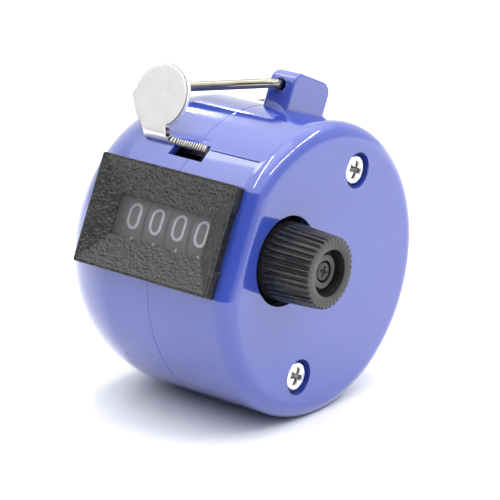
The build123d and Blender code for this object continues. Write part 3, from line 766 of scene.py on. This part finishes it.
# ---------------------------------------------------------------- CAD nodes that stay
LOOKS = {
    "left_shell": BLUE, "right_shell": BLUE, "window_pane": PANE, "finger_ring": WIRE,
    "left_side_plate": STEEL, "right_side_plate": STEEL, "frame_back_plate": STEEL,
    "frame_spacers": STEEL, "reset_shaft": SHAFT, "shaft_collar": SHAFT, "shaft_clip": SPRING,
    "drive_comb": STEEL, "lever_shaft": SHAFT, "lever_clips": SPRING, "lever_spring": SPRING,
    "detent_comb": STEEL, "detent_rod": SHAFT,
}
for name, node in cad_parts.items():
    look = LOOKS.get(name) or (WHEEL if name.startswith("number_wheel") else STEEL)
    node.data.materials.clear()
    node.data.materials.append(look)

# ---------------------------------------------------------------- floor, light, camera
FLOOR_HALF = 4
SKY_LOW, SKY_HIGH, SHADE = 1.05, 2.2, 0.85
LAMP_AIM_Z = 0.022
AZIMUTH, ELEVATION, ROLL = (math.radians(angle) for angle in (39.73, 19.27, 0.10))
DISTANCE, ASIDE, BELOW = 0.4473, 0.00175, 0.00016
SENSOR, LENS = 36.0, 213.1


def floor_look():
    look = Look("pale_floor", Roughness=0.9)
    look.shader.inputs["Specular IOR Level"].default_value = 0.1
    look.colour(look.noise(30, 3), (0.3, (0.80, 0.80, 0.82)), (0.7, (0.83, 0.83, 0.85)))
    look.bump(look.noise(900, 4), 0.00008, 0.3)
    return look.material


floor_mesh = bpy.data.meshes.new("floor")
corners = [(a * FLOOR_HALF, b * FLOOR_HALF, 0) for a, b in ((-1, -1), (1, -1), (1, 1), (-1, 1))]
floor_mesh.from_pydata(corners, [], [(0, 1, 2, 3)])
floor_mesh.materials.append(floor_look())
floor = bpy.data.objects.new("floor", floor_mesh)
bpy.context.scene.collection.objects.link(floor)

world = bpy.data.worlds.new("studio")
bpy.context.scene.world = world
world.use_nodes = True


def studio_sky(tree):
    """Soft white all round, brighter overhead, dimmer low on the side away from the lamps."""
    parts = tree.nodes.new("ShaderNodeSeparateXYZ")
    tree.links.new(tree.nodes.new("ShaderNodeTexCoord").outputs["Generated"], parts.inputs[0])

    def ramp(source, x0, x1, y0, y1):
        node = tree.nodes.new("ShaderNodeMapRange")
        node.interpolation_type = "SMOOTHSTEP"
        for key, value in (("From Min", x0), ("From Max", x1), ("To Min", y0), ("To Max", y1)):
            node.inputs[key].default_value = value
        tree.links.new(source, node.inputs["Value"])
        return node.outputs["Result"]

    def maths(operation, a, b):
        node = tree.nodes.new("ShaderNodeMath")
        node.operation = operation
        for socket, value in zip(node.inputs, (a, b)):
            if isinstance(value, float):
                socket.default_value = value
            else:
                tree.links.new(value, socket)
        return node.outputs[0]

    height = ramp(parts.outputs["Z"], 0.40, 0.78, SKY_LOW, SKY_HIGH)
    side = ramp(parts.outputs["Y"], -0.62, -0.15, 1.0, 0.0)
    low = ramp(parts.outputs["Z"], 0.42, 0.62, 1.0, 0.0)
    shade = maths("MULTIPLY", maths("MULTIPLY", side, low), SHADE)
    strength = maths("MULTIPLY", height, maths("SUBTRACT", 1.0, shade))
    tree.links.new(strength, tree.nodes["Background"].inputs["Strength"])


world.node_tree.nodes["Background"].inputs["Color"].default_value = (1.0, 1.0, 1.0, 1)
studio_sky(world.node_tree)


def strip_light(name, place, along, size, power):
    """A flat lamp facing the object, its long side along the given direction."""
    lamp = bpy.data.lights.new(name, "AREA")
    lamp.shape = "RECTANGLE"
    lamp.size, lamp.size_y = size
    lamp.energy = power
    obj = bpy.data.objects.new(name, lamp)
    back = (Vector(place) - Vector((0, 0, LAMP_AIM_Z))).normalized()
    right = Vector(along) - back * back.dot(Vector(along))
    right.normalize()
    up = back.cross(right)
    obj.matrix_world = (Matrix.Translation(Vector(place))
                        @ Matrix((right, up, back)).transposed().to_4x4())
    bpy.context.scene.collection.objects.link(obj)


strip_light("overhead", (0.05, 0.1, 0.9), (1, 0, 0), (0.6, 0.5), 1.0)
strip_light("left_softbox", (-0.50, -0.002, 0.765), (1, 0, 0), (0.144, 0.145), 0.26)
strip_light("rim_strip_1", (0.572, 0.176, 0.70), (-0.02, 0.35, -0.077), (0.38, 0.007), 1.1)
strip_light("rim_strip_2", (0.366, 0.50, 0.654), (-0.39, 0.30, -0.016), (0.49, 0.007), 1.2)
strip_light("rim_strip_3", (-0.03, -0.13, 0.92), (0.368, -0.462, -0.048), (0.59, 0.007), 1.6)
strip_light("back_strip", (-0.585, 0.56, 0.50), (0.1, 0.66, -0.75), (0.24, 0.008), 0.22)



def add_camera():
    """The camera: it looks past the drum's middle by a small distance, rolled a little."""
    back = Vector((math.cos(ELEVATION) * math.sin(AZIMUTH),
                   -math.cos(ELEVATION) * math.cos(AZIMUTH), math.sin(ELEVATION)))
    level = Vector((math.cos(AZIMUTH), math.sin(AZIMUTH), 0))
    right = Matrix.Rotation(ROLL, 3, back) @ level
    up = back.cross(right)
    lens = bpy.data.cameras.new("camera")
    lens.sensor_width, lens.lens = SENSOR, LENS
    lens.clip_start, lens.clip_end = 0.01, 20
    camera = bpy.data.objects.new("camera", lens)
    place = back * DISTANCE + right * ASIDE - up * BELOW + Vector((0, 0, LIFT * 0.001))
    turn = Matrix((right, up, back)).transposed().to_4x4()
    camera.matrix_world = Matrix.Translation(place) @ turn
    bpy.context.scene.collection.objects.link(camera)
    bpy.context.scene.camera = camera


add_camera()
bpy.context.scene.view_settings.view_transform = "Standard"
